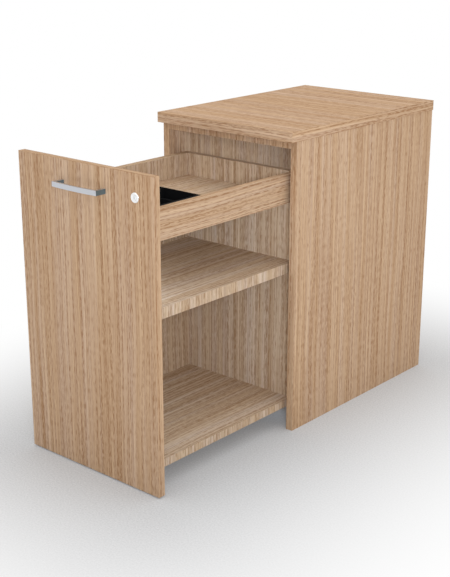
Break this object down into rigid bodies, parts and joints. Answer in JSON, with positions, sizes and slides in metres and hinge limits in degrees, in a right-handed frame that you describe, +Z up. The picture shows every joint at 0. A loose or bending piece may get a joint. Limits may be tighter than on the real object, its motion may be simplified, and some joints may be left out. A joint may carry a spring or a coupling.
{
  "type": "pull-out storage cabinet",
  "caption": "Desk-high cabinet in light oak laminate with a side-access pull-out holding an open tray and two open compartments, bow handle and cam lock.",
  "frame": {"origin": "on the floor, at the middle of the footprint of the cabinet with its pull-out fully extended", "axes": "+X to the open side of the pull-out, -Y towards the front panel, which the pull-out travels along, and +Z up"},
  "size_m": [0.42, 1.074, 0.74],
  "materials": {
    "oak_laminate": "satin light-oak laminate with fine straight grain",
    "beech_dowel": "plain turned beech",
    "satin_aluminium": "satin",
    "lock_chrome": "bright nickel plate",
    "black_plastic": "fine-grained moulded polystyrene",
    "clear_rubber": "soft translucent",
    "castor_nylon": "moulded nylon",
    "castor_tyre": "smooth grey rubber",
    "bearing_steel": "polished",
    "zinc_steel": "bright zinc plate"
  },
  "bodies": {
    "carcass": {"top_board": "oak_laminate", "side_panel_left": "oak_laminate", "side_panel_right": "oak_laminate", "header_board": "oak_laminate", "carcass_back_panel": "oak_laminate", "base_board": "oak_laminate", "carcass_dowels": "beech_dowel", "carcass_cams": "zinc_steel", "carcass_cam_bolts": "zinc_steel", "top_board_screws": "zinc_steel", "strike_plate": "zinc_steel", "strike_plate_screws": "zinc_steel", "runner_fixed_base_left": "zinc_steel", "runner_fixed_base_right": "zinc_steel", "runner_fixed_side": "zinc_steel", "runner_fixed_screws": "zinc_steel"},
    "runner_middle": {"runner_middle_base_left": "zinc_steel", "runner_middle_base_right": "zinc_steel", "runner_middle_side": "zinc_steel"},
    "outer_cages": {"outer_ball_cages": "zinc_steel", "outer_balls": "bearing_steel"},
    "inner_cages": {"inner_ball_cages": "zinc_steel", "inner_balls": "bearing_steel"},
    "pen_tray": {"pen_tray": "black_plastic"},
    "lock_core": {"lock_plug": "lock_chrome", "lock_cam": "zinc_steel", "lock_cam_screw": "zinc_steel"},
    "castor_wheel": {"castor_hub": "castor_nylon", "castor_tyre": "castor_tyre"},
    "pull_out": {"runner_drawer_base_left": "zinc_steel", "runner_drawer_base_right": "zinc_steel", "runner_drawer_side": "zinc_steel", "runner_drawer_screws": "zinc_steel", "front_panel": "oak_laminate", "box_side_panel": "oak_laminate", "box_back_panel": "oak_laminate", "bottom_shelf": "oak_laminate", "middle_shelf": "oak_laminate", "tray_floor": "oak_laminate", "tray_rail": "oak_laminate", "box_dowels": "beech_dowel", "tray_dowels": "beech_dowel", "box_cams": "zinc_steel", "box_cam_bolts": "zinc_steel", "bumpers": "clear_rubber", "handle": "satin_aluminium", "handle_screws": "zinc_steel", "lock_housing": "lock_chrome", "lock_nut": "zinc_steel", "castor_bracket": "zinc_steel", "castor_axle": "zinc_steel", "castor_screws": "zinc_steel", "tray_pins": "zinc_steel"}
  },
  "joints": [
    {"name": "pull_out_slide", "type": "slide", "parent": "carcass", "child": "pull_out", "axis": [0, 1, 0], "range_m": [0, 0.444]},
    {"name": "runner_middle_slide", "type": "slide", "parent": "carcass", "child": "runner_middle", "axis": [0, 1, 0], "range_m": [0, 0.222]},
    {"name": "outer_cage_slide", "type": "slide", "parent": "carcass", "child": "outer_cages", "axis": [0, 1, 0], "range_m": [0, 0.111]},
    {"name": "inner_cage_slide", "type": "slide", "parent": "carcass", "child": "inner_cages", "axis": [0, 1, 0], "range_m": [0, 0.333]},
    {"name": "castor_spin", "type": "hinge", "parent": "pull_out", "child": "castor_wheel", "pos_m": [0, -0.429, 0.02], "axis": [1, 0, 0], "continuous": true},
    {"name": "lock_turn", "type": "hinge", "parent": "pull_out", "child": "lock_core", "pos_m": [0.154, -0.489, 0.6625], "axis": [0, 1, 0], "range_deg": [0, 90]},
    {"name": "pen_tray_lift", "type": "slide", "parent": "pull_out", "child": "pen_tray", "axis": [0, 0, 1], "range_m": [0, 0.05]}
  ],
  "couplings": [
    {"joint": "runner_middle_slide", "follows": "pull_out_slide", "ratio": 0.5},
    {"joint": "outer_cage_slide", "follows": "pull_out_slide", "ratio": 0.25},
    {"joint": "inner_cage_slide", "follows": "pull_out_slide", "ratio": 0.75}
  ]
}
